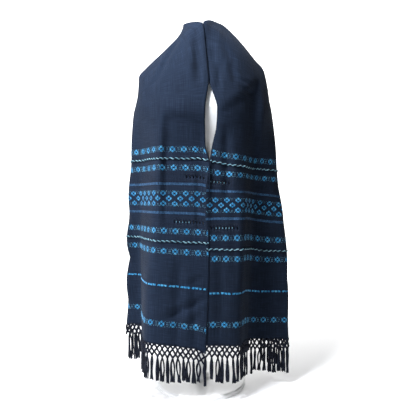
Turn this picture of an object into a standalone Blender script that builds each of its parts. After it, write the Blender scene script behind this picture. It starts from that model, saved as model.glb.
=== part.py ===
"""Rebozo shawl worn over both shoulders of a limbless dress form. Metres, +Z up, front towards -Y."""

import math

import bpy
import numpy as np

# ---- driving dimensions -------------------------------------------------------------------------
WEB = 0.460            # width of the cloth, selvedge to selvedge
WALL = 0.0020          # thickness of the cloth
SEAM = 0.0003          # gap between neighbouring pieces
FRINGE_LENGTH = 0.102  # knotted net and tassels below the hem
FRINGE_WALL = 0.004
BUST_Z = 0.830         # level of the fullest section
NAPE_Y, NAPE_Z = 0.055, 1.112
BACK_DROP = 0.438      # how far the outer edge hangs below the nape at the centre of the back
BACK_Y = 0.052         # how much further back the shoulder blades carry the cloth than the nape
FOLDS = 3              # soft folds in the stretch that hangs behind each shoulder tip
FRONT_DEPTH = dict(left=-0.1300, right=-0.1245)  # the left panel lies in front of the right one
OUTER_DROP = dict(left=0.0, right=0.0175)        # how much lower the outer stretch hangs
LEFT_TILT = 0.021      # the left panel's hem runs down towards the inner edge
CORNER_DROOP = 0.012   # and its inner corner droops
GATHER_START = 0.008   # how gradually the gathers begin
LAPPED = dict(left=-0.0020, right=0.0030)  # the two inner edges pass one another at the throat

COLUMNS = 30           # facets across the web
LOWER_ROWS = 14        # facets from the hem to the bust
UPPER_ROWS = (0, 0.15, 0.30, 0.45, 0.60, 0.72, 0.82, 0.90, 0.945, 0.975, 1.0)  # from the bust to the ridge
OVER_ROWS = (0, 0.035, 0.08, 0.14, 0.22, 0.32, 0.43, 0.55, 0.68, 0.84, 1.0)    # and on to the centre back

# ---- level sections, one row each: where the weft line passes (x, y) at the height z --------------
SECTIONS = dict(
    left=[
        dict(z=0.1515, front=(-0.065, -0.134), corner=(-0.146, -0.131), side=(-0.176, -0.050),
             valley=(-0.188, 0.036), outline=(-0.245, 0.050), back=(-0.208, 0.096), end=(-0.160, 0.116)),
        dict(z=0.318, front=(-0.060, -0.134), corner=(-0.138, -0.131), side=(-0.176, -0.050),
             valley=(-0.192, 0.020), outline=(-0.240, 0.028), back=(-0.198, 0.082), end=(-0.160, 0.114)),
        dict(z=0.415, front=(-0.055, -0.134), corner=(-0.127, -0.131), side=(-0.170, -0.060),
             valley=(-0.194, 0.004), outline=(-0.234, 0.002), back=(-0.190, 0.064), end=(-0.162, 0.112)),
        dict(z=0.565, front=(-0.050, -0.134), corner=(-0.118, -0.130), side=(-0.158, -0.075),
             valley=(-0.188, -0.025), outline=(-0.226, -0.014), back=(-0.180, 0.052), end=(-0.162, 0.108)),
        dict(z=0.703, front=(-0.050, -0.133), corner=(-0.110, -0.129), side=(-0.148, -0.085),
             valley=(-0.180, -0.045), outline=(-0.214, -0.022), back=(-0.172, 0.046), end=(-0.158, 0.104)),
        dict(z=0.830, front=(-0.045, -0.133), corner=(-0.105, -0.124), side=(-0.148, -0.092),
             valley=(-0.185, -0.052), outline=(-0.207, -0.010), back=(-0.172, 0.046), end=(-0.152, 0.102)),
    ],
    right=[
        dict(z=0.154, front=(0.062, -0.131), corner=(0.106, -0.128), side=(0.130, -0.070),
             valley=(0.152, -0.024), outline=(0.270, -0.020), back=(0.226, 0.050), end=(0.175, 0.105)),
        dict(z=0.300, front=(0.062, -0.131), corner=(0.109, -0.128), side=(0.132, -0.075),
             valley=(0.154, -0.030), outline=(0.269, -0.020), back=(0.222, 0.050), end=(0.175, 0.106)),
        dict(z=0.396, front=(0.062, -0.131), corner=(0.113, -0.128), side=(0.135, -0.080),
             valley=(0.158, -0.035), outline=(0.267, -0.016), back=(0.218, 0.050), end=(0.175, 0.108)),
        dict(z=0.546, front=(0.062, -0.131), corner=(0.118, -0.128), side=(0.140, -0.082),
             valley=(0.163, -0.040), outline=(0.252, -0.012), back=(0.200, 0.050), end=(0.168, 0.108)),
        dict(z=0.695, front=(0.062, -0.131), corner=(0.113, -0.125), side=(0.142, -0.090),
             valley=(0.172, -0.045), outline=(0.233, -0.008), back=(0.184, 0.050), end=(0.162, 0.106)),
        dict(z=0.830, front=(0.058, -0.131), corner=(0.112, -0.122), side=(0.152, -0.092),
             valley=(0.188, -0.052), outline=(0.215, -0.006), back=(0.176, 0.048), end=(0.154, 0.104)),
    ],
)
WAY = ("front", "corner", "side", "valley", "outline")

# Inner selvedge: (height, x). The two edges part round the bust and meet again at the waist.
SELVEDGE = dict(
    left=[(0.1515, 0.0160), (0.230, 0.0200), (0.318, 0.0235), (0.415, 0.0250), (0.500, 0.0229),
          (0.565, 0.0245), (0.640, 0.0268), (0.664, 0.0252), (0.684, 0.0208), (0.713, 0.0130),
          (0.785, 0.0122), (0.827, 0.0138), (0.862, 0.0188), (0.886, 0.0240), (0.905, 0.0243),
          (0.929, 0.0227), (0.960, 0.0187), (0.997, 0.0146), (1.038, 0.0105), (1.084, 0.0062)],
    right=[(0.154, 0.0195), (0.300, 0.0145), (0.400, 0.0160), (0.500, 0.0130), (0.600, 0.0150),
           (0.645, 0.0205), (0.665, 0.0245), (0.698, 0.0292), (0.723, 0.0343), (0.755, 0.0424),
           (0.790, 0.0460), (0.821, 0.0463), (0.839, 0.0430), (0.866, 0.0330), (0.895, 0.0220),
           (0.940, 0.0120), (1.000, 0.0060), (1.040, 0.0050), (1.075, 0.0045)],
)

# Shoulder ridge (x, y, z) from the side of the neck to the shoulder tip, then the folds behind it.
RIDGE = dict(
    left=[(-0.0470, 0.012, 1.1040), (-0.0560, 0.010, 1.0880), (-0.0735, 0.007, 1.0640),
          (-0.1123, 0.003, 1.0235), (-0.1525, 0.000, 0.9845), (-0.1770, 0.000, 0.9600),
          (-0.1900, 0.002, 0.9480), (-0.1955, 0.012, 0.9380)],
    right=[(0.0440, 0.012, 1.1090), (0.0640, 0.010, 1.1010), (0.0887, 0.007, 1.0820),
           (0.1196, 0.003, 1.0505), (0.1506, 0.000, 1.0115), (0.1722, 0.000, 0.9845),
           (0.1840, 0.001, 0.9740), (0.1920, 0.004, 0.9640), (0.1975, 0.014, 0.9500)],
)
BEHIND = dict(
    left=[(-0.184, 0.050, 0.922), (-0.161, 0.098, 0.890)],
    right=[(0.186, 0.050, 0.930), (0.163, 0.098, 0.893)],
)

# Dress form: height, half width, reach forwards, reach backwards
TORSO = [
    (0.2700, 0.128, 0.088, 0.080),
    (0.2800, 0.140, 0.098, 0.090),
    (0.3300, 0.152, 0.106, 0.098),
    (0.4000, 0.157, 0.110, 0.101),
    (0.4800, 0.151, 0.108, 0.099),
    (0.5700, 0.133, 0.101, 0.090),
    (0.6500, 0.121, 0.097, 0.083),
    (0.7200, 0.126, 0.103, 0.083),
    (0.7900, 0.139, 0.113, 0.085),
    (0.8300, 0.146, 0.115, 0.086),
    (0.8700, 0.151, 0.106, 0.084),
    (0.9100, 0.157, 0.093, 0.078),
    (0.9400, 0.158, 0.078, 0.071),
    (0.9650, 0.148, 0.064, 0.066),
    (0.9900, 0.128, 0.053, 0.062),
    (1.0200, 0.098, 0.043, 0.057),
    (1.0450, 0.073, 0.036, 0.052),
    (1.0650, 0.054, 0.032, 0.047),
    (1.0780, 0.042, 0.030, 0.043),
    (1.0850, 0.038, 0.030, 0.040),
]
TORSO_ROUNDNESS = 2.25  # 2 is an ellipse, more is squarer
CAP = dict(radius=0.030, bottom=1.0853, top=1.0900, y=0.005)
POLE = dict(radius=0.0125, bottom=0.0303, top=0.2697)
BASE = dict(radius=0.135, thick=0.012, collar=0.024, collar_top=0.030)


# ---- curves -------------------------------------------------------------------------------------
def through(points, n=24):
    """A centripetal Catmull-Rom line through the points, densely divided."""
    p = np.asarray(points, float)
    p = np.vstack([2 * p[0] - p[1], p, 2 * p[-1] - p[-2]])
    t = np.concatenate([[0], np.cumsum(np.maximum(np.linalg.norm(np.diff(p, axis=0), axis=1), 1e-9) ** 0.5)])
    out = []
    for i in range(1, len(p) - 2):
        w = np.linspace(t[i], t[i + 1], n, endpoint=i == len(p) - 3)[:, None]
        a = [((t[k + 1] - w) * p[k] + (w - t[k]) * p[k + 1]) / (t[k + 1] - t[k]) for k in (i - 1, i, i + 1)]
        b = [((t[k + 2] - w) * a[k - i + 1] + (w - t[k]) * a[k - i + 2]) / (t[k + 2] - t[k]) for k in (i - 1, i)]
        out.append(((t[i + 1] - w) * b[0] + (w - t[i]) * b[1]) / (t[i + 1] - t[i]))
    return np.vstack(out)


def lengths(p):
    return np.concatenate([[0], np.cumsum(np.linalg.norm(np.diff(p, axis=0), axis=1))])


def along(p, s):
    a = lengths(p)
    return np.stack([np.interp(s, a, p[:, k]) for k in range(3)], 1)


def softened(p, reach=0.006, step=0.002):
    """The line with its corners rounded, ends kept."""
    q = along(p, np.linspace(0, lengths(p)[-1], int(lengths(p)[-1] / step)))
    weight = np.exp(-0.5 * (np.arange(-12, 13) * step / reach) ** 2)
    pad = np.vstack([2 * q[0] - q[12:0:-1], q, 2 * q[-1] - q[-2:-14:-1]])
    return np.stack([np.convolve(pad[:, k], weight / weight.sum(), "valid") for k in range(3)], 1)


def ease(x, a, b):
    t = np.clip((x - a) / (b - a), 0, 1)
    return t * t * (3 - 2 * t)


# ---- the cloth ----------------------------------------------------------------------------------
def gathered(front, behind, u):
    """The weft line over the ridge: full width in front, drawn together behind the shoulder tip."""
    line = softened(through(front + behind))
    tip = lengths(through(front))[-1]
    rest = (lengths(line)[-1] - tip) / (WEB - tip)
    soft = GATHER_START * np.log1p(np.exp((u - tip) / GATHER_START))  # how far past the tip, eased in
    return along(line, u - soft * (1 - rest))


def weft(front, behind, side, u):
    """One weft line: plain through the front points, then folded so that the web's whole width fits."""
    ahead = through(front)
    mean = through([front[-1]] + behind)
    mean = along(mean, np.linspace(0, lengths(mean)[-1], 90))
    way = np.gradient(mean, axis=0)
    way /= np.linalg.norm(way, axis=1)[:, None]
    outwards = np.stack([-way[:, 1], way[:, 0], 0 * way[:, 0]], 1) * (1 if side == "left" else -1)
    tau = np.linspace(0, 1, len(mean))[:, None]
    hump = outwards * np.sin(np.pi * FOLDS * tau) ** 2 * (0.35 + 0.65 * tau ** 0.6)
    low, high = 0.0, 0.12
    for _ in range(26):
        fold = (low + high) / 2
        line = softened(np.vstack([ahead, (mean + fold * hump)[1:]]))
        if lengths(line)[-1] < WEB:
            low = fold
        else:
            high = fold
    return along(line, u)


def stations(side, u):
    """Weft lines of one side, from the hem over the ridge to the centre of the back."""
    z_edge, x_edge = np.array(SELVEDGE[side]).T
    rows, places = [], []
    for r in SECTIONS[side]:
        z = r["z"]
        inner = (np.interp(z, z_edge, x_edge), FRONT_DEPTH[side] + 0.004 * ease(z, 0.60, 0.72), z)
        p = weft([inner] + [(*r[k], z) for k in WAY], [(*r["back"], z), (*r["end"], z)], side, u)
        p[:, 2] -= OUTER_DROP[side] * ease(u, 0.12, 0.24) * (1 - ease(z, 0.70, 0.90))
        if side == "left":
            p[:, 2] += LEFT_TILT * (1 - ease(z, 0.10, 0.72)) * (np.clip(u / 0.15, 0, 1) - 0.45)
            p[:, 2] -= CORNER_DROOP * (1 - ease(z, 0.10, 0.30)) * np.exp(-((u / 0.02) ** 2))
        rows.append(p)
        places.append(z)

    bust = rows[-1]
    ridge = gathered(RIDGE[side], BEHIND[side], u)
    tip = ease(u, 0.19, 0.27)
    lean_x = (0.25 * ease(u, 0, 0.05) + 0.30 * ease(u, 0.05, 0.20)) * (1 - tip) + tip
    lean_y = 0.46 * (1 - tip) + tip
    turn = 3.5 + 15.0 / (1 + (u / 0.012) ** 1.5)  # the inner edge turns round the neck at the very top
    for s in (0.12, 0.25, 0.40, 0.55, 0.70, 0.82, 0.90, 0.95, 0.98, 1.0):
        p = np.empty_like(bust)
        for k, lean in ((0, lean_x), (1, lean_y)):
            rise = (ridge[:, k] - bust[:, k]) * lean
            p[:, k] = bust[:, k] + rise * s + (ridge[:, k] - bust[:, k] - rise) * s ** turn
        p[:, 2] = BUST_Z + (ridge[:, 2] - BUST_Z) * s
        hold = 1 - s ** turn[0]
        edge = np.interp(p[0, 2], z_edge, x_edge) * hold + ridge[0, 0] * (1 - hold)
        p[:, 0] += (edge - p[0, 0]) * np.exp(-((u / 0.05) ** 1.5))
        p[:, 1] += LAPPED[side] * np.exp(-((u / 0.03) ** 2)) * hold * ease(s, 0, 0.25)
        rows.append(p)
        places.append(BUST_Z + 0.27 * s)

    blade_y = NAPE_Y + BACK_Y * ease(u, -0.05, 0.16)
    blade_y += 0.006 * np.sin(2 * np.pi * u / 0.13) * ease(u, 0.10, 0.30)
    centre = np.stack([0 * u, blade_y, NAPE_Z - u * BACK_DROP / WEB], 1)
    for t in (0.12, 0.25, 0.40, 0.55, 0.70, 0.85, 1.0):
        a = math.pi * t / 2
        swag = ease(u, 0.02, 0.16)  # a ring round the neck, further out a swag between the shoulders
        p = np.empty_like(bust)
        p[:, 0] = ridge[:, 0] * ((1 - swag) * math.cos(a) + swag * (1 - t))
        p[:, 1] = ridge[:, 1] + (centre[:, 1] - ridge[:, 1]) * math.sin(a) ** (0.9 + 0.4 * ease(u, 0.2, 0.35))
        p[:, 2] = centre[:, 2] + (ridge[:, 2] - centre[:, 2]) * (
            (1 - swag) * (1 - math.sin(a)) + swag * (1 - math.sin(a) ** 1.6))
        rows.append(p)
        places.append(1.10 + 0.28 * t)
    return np.array(rows), np.array(places)


def cloth(side, u, at):
    """Points of the cloth's middle surface: warp threads run as cubic lines through the stations."""
    p, q = stations(side, u)
    dq = np.diff(q)
    d = np.diff(p, axis=0) / dq[:, None, None]
    slope = np.empty_like(p)
    slope[1:-1] = (d[:-1] * dq[1:, None, None] + d[1:] * dq[:-1, None, None]) / (dq[:-1] + dq[1:])[:, None, None]
    slope[0], slope[-1] = d[0], d[-1] * [1, 0, 0]
    i = np.clip(np.searchsorted(q, at, "right") - 1, 0, len(q) - 2)
    t = ((at - q[i]) / dq[i])[:, None, None]
    h = dq[i][:, None, None]
    return ((2 * t ** 3 - 3 * t ** 2 + 1) * p[i] + (t ** 3 - 2 * t ** 2 + t) * h * slope[i]
            + (3 * t ** 2 - 2 * t ** 3) * p[i + 1] + (t ** 3 - t ** 2) * h * slope[i + 1])


# ---- mesh helpers -------------------------------------------------------------------------------
def material(name, colour, rough, metal=0.0):
    m = bpy.data.materials.new(name)
    m.use_nodes = True
    b = m.node_tree.nodes["Principled BSDF"]
    b.inputs["Base Color"].default_value = (*colour, 1)
    b.inputs["Roughness"].default_value = rough
    b.inputs["Metallic"].default_value = metal
    return m


def body(name, points, faces, paint, smooth=True):
    mesh = bpy.data.meshes.new(name)
    mesh.from_pydata([tuple(p) for p in points], [], faces)
    mesh.validate()
    mesh.polygons.foreach_set("use_smooth", [smooth] * len(mesh.polygons))
    mesh.materials.append(paint)
    obj = bpy.data.objects.new(name, mesh)
    bpy.context.scene.collection.objects.link(obj)
    return obj


def normals(g):
    """Unit normals of the surface through the grid of points g[row, column]."""
    across, up = np.gradient(g, axis=1), np.empty_like(g)
    step = np.diff(g, axis=0)
    step = step / np.maximum(np.linalg.norm(step, axis=2), 1e-9)[..., None]
    up[1:-1], up[0], up[-1] = step[1:] + step[:-1], step[0], step[-1]
    n = np.cross(across, up)
    return n / np.maximum(np.linalg.norm(n, axis=2), 1e-12)[..., None]


def wall(name, g, thick, paint, n=None):
    """A closed wall of even thickness about the grid of points g[row, column]."""
    n = normals(g) if n is None else n
    rows, cols = g.shape[:2]
    points = np.vstack([(g + n * thick / 2).reshape(-1, 3), (g - n * thick / 2).reshape(-1, 3)])
    size = rows * cols
    faces = []
    for r in range(rows - 1):
        for c in range(cols - 1):
            a, b, d, e = r * cols + c, r * cols + c + 1, (r + 1) * cols + c + 1, (r + 1) * cols + c
            faces.append((a, b, d, e))
            faces.append((size + e, size + d, size + b, size + a))
    rim = [r * cols for r in range(rows)]
    rim += [(rows - 1) * cols + c for c in range(1, cols)]
    rim += [r * cols + cols - 1 for r in range(rows - 2, -1, -1)]
    rim += list(range(cols - 2, 0, -1))
    for a, b in zip(rim, rim[1:] + rim[:1]):
        faces.append((a, b, size + b, size + a))
    return body(name, points, faces, paint)


def lathe(name, profile, paint, segments=48, y=0.0):
    """A solid of revolution from (radius, height) points, closed at both ends."""
    turn = [2 * math.pi * k / segments for k in range(segments)]
    points = [(r * math.cos(a), y + r * math.sin(a), z) for r, z in profile for a in turn]
    faces = [tuple(reversed(range(segments))), tuple(range((len(profile) - 1) * segments, len(profile) * segments))]
    for i in range(len(profile) - 1):
        for k in range(segments):
            j = (k + 1) % segments
            faces.append((i * segments + k, i * segments + j, (i + 1) * segments + j, (i + 1) * segments + k))
    return body(name, points, faces, paint)


def torso(name, paint, segments=44, rings=40):
    """The limbless body: flattened rings through the table's heights."""
    table = np.array(TORSO)
    fine = through(table, 12)
    pick = along(fine[:, :3], np.linspace(0, lengths(fine[:, :3])[-1], rings))[:, 0]
    pick[0], pick[-1] = table[0, 0], table[-1, 0]
    rows = np.array([[z] + [np.interp(z, fine[:, 0], fine[:, k]) for k in (1, 2, 3)] for z in pick])
    e = 2 / TORSO_ROUNDNESS
    points = []
    for z, half, fore, aft in rows:
        for k in range(segments):
            a = 2 * math.pi * k / segments
            c, s = math.cos(a), math.sin(a)
            reach = aft if s > 0 else fore
            points.append((half * math.copysign(abs(c) ** e, c), reach * math.copysign(abs(s) ** e, s), z))
    faces = [tuple(reversed(range(segments))), tuple(range((len(rows) - 1) * segments, len(rows) * segments))]
    for i in range(len(rows) - 1):
        for k in range(segments):
            j = (k + 1) % segments
            faces.append((i * segments + k, i * segments + j, (i + 1) * segments + j, (i + 1) * segments + k))
    return body(name, points, faces, paint)


# ---- build --------------------------------------------------------------------------------------
for old in list(bpy.data.objects):
    bpy.data.objects.remove(old, do_unlink=True)

NAVY = material("navy_cotton", (0.026, 0.042, 0.080), 0.85)
TASSEL = material("dark_cotton_yarn", (0.012, 0.016, 0.030), 0.85)
LINEN = material("white_jersey", (0.80, 0.79, 0.77), 0.80)
ENAMEL = material("white_enamel", (0.82, 0.82, 0.81), 0.40)

u = np.linspace(0, WEB, COLUMNS + 1)
halves, counts = [], []
for side in ("left", "right"):
    hem = SECTIONS[side][0]["z"]
    lower = np.linspace(hem, BUST_Z, LOWER_ROWS, endpoint=False)
    upper = BUST_Z + 0.27 * np.array(UPPER_ROWS)
    over = 1.10 + 0.28 * np.array(OVER_ROWS)
    over[0] += 3 * SEAM  # the places are finer than the metres here
    halves.append(cloth(side, u, np.concatenate([lower, upper, over])))
    counts.append(len(lower) + len(upper))

    top = halves[-1][0]
    steps = [SEAM, FRINGE_LENGTH * 0.35, FRINGE_LENGTH]
    wall(f"fringe_{side}", np.array([top - [0, 0, s] for s in reversed(steps)]), FRINGE_WALL, TASSEL)

whole = np.concatenate([halves[0], halves[1][-2::-1]])
facing = normals(whole)
first, last = counts[0], len(whole) - counts[1]
for k in (first, last):  # both sides of a seam are cut to one mitre
    mitre = facing[k - 1] + facing[k]
    facing[k - 1] = facing[k] = mitre / np.linalg.norm(mitre, axis=1)[:, None]
wall("front_left", whole[:first], WALL, NAVY, facing[:first])
wall("back", whole[first:last], WALL, NAVY, facing[first:last])
wall("front_right", whole[last:], WALL, NAVY, facing[last:])

torso("dress_form", LINEN)
lathe("neck_cap", [(CAP["radius"], CAP["bottom"]), (CAP["radius"], CAP["top"] - 0.0015),
                   (CAP["radius"] - 0.0015, CAP["top"])], ENAMEL, 36, CAP["y"])
lathe("stand_pole", [(POLE["radius"], POLE["bottom"]), (POLE["radius"], POLE["top"])], ENAMEL, 32)
lathe("stand_base", [(BASE["radius"], 0.0), (BASE["radius"], BASE["thick"] - 0.004),
                     (BASE["radius"] - 0.004, BASE["thick"]), (BASE["collar"] + 0.004, BASE["thick"]),
                     (BASE["collar"], BASE["thick"] + 0.004), (BASE["collar"], BASE["collar_top"] - 0.003),
                     (BASE["collar"] - 0.003, BASE["collar_top"])], ENAMEL, 64)
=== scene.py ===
"""A woven rebozo shawl draped on a limbless dress form: its finished look on the fixed frame."""

import math

import bpy
import numpy as np
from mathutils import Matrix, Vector


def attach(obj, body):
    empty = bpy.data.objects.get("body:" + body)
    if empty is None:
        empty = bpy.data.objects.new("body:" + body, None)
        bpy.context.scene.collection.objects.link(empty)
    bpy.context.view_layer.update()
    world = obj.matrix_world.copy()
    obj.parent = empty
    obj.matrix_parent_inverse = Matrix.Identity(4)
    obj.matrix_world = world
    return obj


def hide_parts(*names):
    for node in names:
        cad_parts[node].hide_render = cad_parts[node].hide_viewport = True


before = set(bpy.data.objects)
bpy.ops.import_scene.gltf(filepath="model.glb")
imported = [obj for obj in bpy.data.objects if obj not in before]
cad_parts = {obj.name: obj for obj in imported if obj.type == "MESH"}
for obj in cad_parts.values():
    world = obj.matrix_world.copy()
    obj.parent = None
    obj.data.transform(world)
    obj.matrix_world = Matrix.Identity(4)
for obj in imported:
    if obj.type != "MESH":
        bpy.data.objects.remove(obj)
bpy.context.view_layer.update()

# ---- sizes, in metres ---------------------------------------------------------------------------
# A point of the cloth is given by u, across the web from the inner selvedge, and by its place, along
# the warp: its height up to the bust, RIDGE_PLACE on the shoulder ridge, CENTRE_PLACE at the centre back.
WEB = 0.460             # width of the cloth, selvedge to selvedge
CLOTH_THICK = 0.0012
BUST_Z = 0.830          # level of the fullest section
RIDGE_PLACE, CENTRE_PLACE = 1.10, 1.38
NAPE_Y, NAPE_Z = 0.055, 1.112
BACK_DROP = 0.438       # how far the outer edge hangs below the nape at the centre of the back
BACK_Y = 0.052          # how much further back the shoulder blades carry the cloth than the nape
FOLDS = 3               # soft folds in the stretch that hangs behind each shoulder tip
FRONT_DEPTH = dict(left=-0.1300, right=-0.1272)  # the left panel lies in front of the right one
OUTER_DROP = dict(left=0.0, right=0.0175)        # how much lower the outer stretch hangs
LEFT_TILT = 0.021       # the left panel's hem runs down towards the inner edge
CORNER_DROOP = 0.012    # and its inner corner droops
EDGE_SAG = 0.005        # the left selvedge sags where the two panels lap again at the waist
GATHER_START = 0.008    # how gradually the gathers begin behind the shoulder tip
# How far the inner selvedge stands up round the neck: (place along the warp, height)
COLLAR_STAND = dict(
    left=[(1.020, 0.0), (1.046, 0.006), (1.060, 0.013), (1.073, 0.0045), (1.087, 0.0005), (1.095, 0.002),
          (1.100, 0.011), (1.128, 0.010), (1.180, 0.005), (1.260, 0.0)],
    right=[(1.020, 0.0), (1.046, 0.006), (1.060, 0.012), (1.073, 0.005), (1.087, 0.0015), (1.095, 0.005),
           (1.100, 0.008), (1.128, 0.007), (1.180, 0.003), (1.260, 0.0)],
)
LAPPED = dict(left=-0.0012, right=0.0014)  # the two inner edges pass one another at the throat
COLLAR_WIDTH = 0.026    # how far into the web the standing edge reaches
EASING_PASSES = 8       # how often the warp threads next to the neck are eased
SWAG_FOLD = 0.0045      # height of the soft folds across the back

# Level sections: where the weft line passes (x, y) at the height z
SECTIONS = dict(
    left=[
        dict(z=0.1515, front=(-0.065, -0.134), corner=(-0.146, -0.131), side=(-0.176, -0.050),
             valley=(-0.188, 0.036), outline=(-0.245, 0.050), back=(-0.208, 0.096), end=(-0.160, 0.116)),
        dict(z=0.318, front=(-0.060, -0.134), corner=(-0.138, -0.131), side=(-0.176, -0.050),
             valley=(-0.192, 0.020), outline=(-0.240, 0.028), back=(-0.198, 0.082), end=(-0.160, 0.114)),
        dict(z=0.415, front=(-0.055, -0.134), corner=(-0.127, -0.131), side=(-0.170, -0.060),
             valley=(-0.194, 0.004), outline=(-0.234, 0.002), back=(-0.190, 0.064), end=(-0.162, 0.112)),
        dict(z=0.565, front=(-0.050, -0.134), corner=(-0.118, -0.130), side=(-0.158, -0.075),
             valley=(-0.188, -0.025), outline=(-0.226, -0.014), back=(-0.180, 0.052), end=(-0.162, 0.108)),
        dict(z=0.703, front=(-0.050, -0.133), corner=(-0.110, -0.129), side=(-0.148, -0.085),
             valley=(-0.180, -0.045), outline=(-0.214, -0.022), back=(-0.172, 0.046), end=(-0.158, 0.104)),
        dict(z=0.830, front=(-0.045, -0.133), corner=(-0.105, -0.124), side=(-0.148, -0.092),
             valley=(-0.185, -0.052), outline=(-0.207, -0.010), back=(-0.172, 0.046), end=(-0.152, 0.102)),
    ],
    right=[
        dict(z=0.154, front=(0.062, -0.129), corner=(0.106, -0.128), side=(0.130, -0.070),
             valley=(0.152, -0.024), outline=(0.270, -0.020), back=(0.226, 0.050), end=(0.175, 0.105)),
        dict(z=0.300, front=(0.062, -0.129), corner=(0.109, -0.128), side=(0.132, -0.075),
             valley=(0.154, -0.030), outline=(0.269, -0.020), back=(0.222, 0.050), end=(0.175, 0.106)),
        dict(z=0.396, front=(0.062, -0.129), corner=(0.113, -0.128), side=(0.135, -0.080),
             valley=(0.158, -0.035), outline=(0.267, -0.016), back=(0.218, 0.050), end=(0.175, 0.108)),
        dict(z=0.546, front=(0.062, -0.129), corner=(0.118, -0.128), side=(0.140, -0.082),
             valley=(0.163, -0.040), outline=(0.252, -0.012), back=(0.200, 0.050), end=(0.168, 0.108)),
        dict(z=0.695, front=(0.062, -0.129), corner=(0.113, -0.125), side=(0.142, -0.090),
             valley=(0.172, -0.045), outline=(0.233, -0.008), back=(0.184, 0.050), end=(0.162, 0.106)),
        dict(z=0.830, front=(0.058, -0.131), corner=(0.112, -0.122), side=(0.152, -0.092),
             valley=(0.188, -0.052), outline=(0.215, -0.006), back=(0.176, 0.048), end=(0.154, 0.104)),
    ],
)
WAY = ("front", "corner", "side", "valley", "outline")

# Inner selvedge: (height, x). The two edges part round the bust and meet again at the waist.
SELVEDGE = dict(
    left=[(0.1515, 0.0160), (0.230, 0.0200), (0.318, 0.0235), (0.415, 0.0250), (0.500, 0.0229),
          (0.565, 0.0245), (0.640, 0.0268), (0.664, 0.0252), (0.684, 0.0208), (0.713, 0.0130),
          (0.785, 0.0122), (0.827, 0.0138), (0.862, 0.0188), (0.886, 0.0240), (0.905, 0.0243),
          (0.929, 0.0227), (0.960, 0.0187), (0.997, 0.0146), (1.038, 0.0105), (1.084, 0.0062)],
    right=[(0.154, 0.0100), (0.300, 0.0130), (0.400, 0.0160), (0.500, 0.0130), (0.600, 0.0150),
           (0.645, 0.0205), (0.665, 0.0245), (0.698, 0.0292), (0.723, 0.0343), (0.755, 0.0424),
           (0.790, 0.0460), (0.821, 0.0463), (0.839, 0.0430), (0.866, 0.0330), (0.895, 0.0220),
           (0.940, 0.0120), (1.000, 0.0060), (1.040, 0.0050), (1.075, 0.0045)],
)
# Shoulder ridge (x, y, z) from the side of the neck to the shoulder tip, then the folds behind it
RIDGE = dict(
    left=[(-0.0470, 0.012, 1.1040), (-0.0560, 0.010, 1.0880), (-0.0735, 0.007, 1.0640),
          (-0.1123, 0.003, 1.0235), (-0.1525, 0.000, 0.9845), (-0.1770, 0.000, 0.9600),
          (-0.1900, 0.002, 0.9480), (-0.1955, 0.012, 0.9380)],
    right=[(0.0440, 0.012, 1.1090), (0.0640, 0.010, 1.1010), (0.0887, 0.007, 1.0820),
           (0.1196, 0.003, 1.0505), (0.1506, 0.000, 1.0115), (0.1722, 0.000, 0.9845),
           (0.1840, 0.001, 0.9740), (0.1920, 0.004, 0.9640), (0.1975, 0.014, 0.9500)],
)
BEHIND = dict(
    left=[(-0.184, 0.050, 0.922), (-0.161, 0.098, 0.890)],
    right=[(0.186, 0.050, 0.930), (0.163, 0.098, 0.893)],
)

# Woven bands, from the hem up: the height of each on the left and on the right end. slip moves its
# repeats along the web. Openwork has real holes in the stretch of u named open, closed stitches in the
# rest, and pale specks over the holes in the stretch named pale, painted light for the lit form seen through
# them; none where that is (0, 0).
BANDS = [
    dict(kind="motif", left=0.211, right=0.213),
    dict(kind="dashes", left=0.318, right=0.300),
    dict(kind="motif", left=0.415, right=0.396),
    dict(kind="cord", left=0.443, right=0.422),
    dict(kind="motif", left=0.472, right=0.454),
    dict(kind="openwork", left=0.498, right=0.481, open=dict(left=(0.006, 0.100), right=(0.010, 0.095)),
         pale=dict(left=(0.052, 0.094), right=(0.018, 0.080))),
    dict(kind="stripe", left=0.523, right=0.507),
    dict(kind="wide", left=0.5635, right=0.5455, slip=dict(left=0.002, right=0.004)),
    dict(kind="stripe", left=0.605, right=0.587),
    dict(kind="openwork", left=0.625, right=0.613, open=dict(left=(0.010, 0.060), right=(0.000, 0.062)),
         pale=dict(left=(0.0, 0.0), right=(0.003, 0.046))),
    dict(kind="motif", left=0.651, right=0.641, slip=dict(left=0.0, right=0.004)),
    dict(kind="cord", left=0.677, right=0.670),
    dict(kind="motif", left=0.703, right=0.695, slip=dict(left=0.0, right=-0.016)),
]
OPENWORK_TALL = 0.0075
HOLE, BAR = 0.0032, 0.0058  # openwork: the width of a hole and of the threads left between two

# One repeat of the brocade, a letter for each float: # a full one, + a thin one, . the ground
CHART = (
    "+...+.##.+...+......",
    ".+...####...+..+.+..",
    "..+##.##.##+........",
    "..###....###...+.+..",
    "..###....###...+.+..",
    "..+##.##.##+........",
    ".+...####...+..+.+..",
    "+...+.##.+...+......",
)
LINE_CHART = (
    "#####.#####.####....",
    "####..#####.#####...",
)
REPEAT = 0.0318          # width of one repeat of the brocade
MOTIF_TALL = 0.0168      # height of one brocade row
WIDE_STEP = 0.0145       # from one row to the next in the wide band
DASH_TALL = 0.0050       # height of the dashed line
# Where the first repeat starts on each end
PHASE = dict(left=0.000 - REPEAT * 0.35, right=0.0235 - REPEAT * 0.35)
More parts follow.
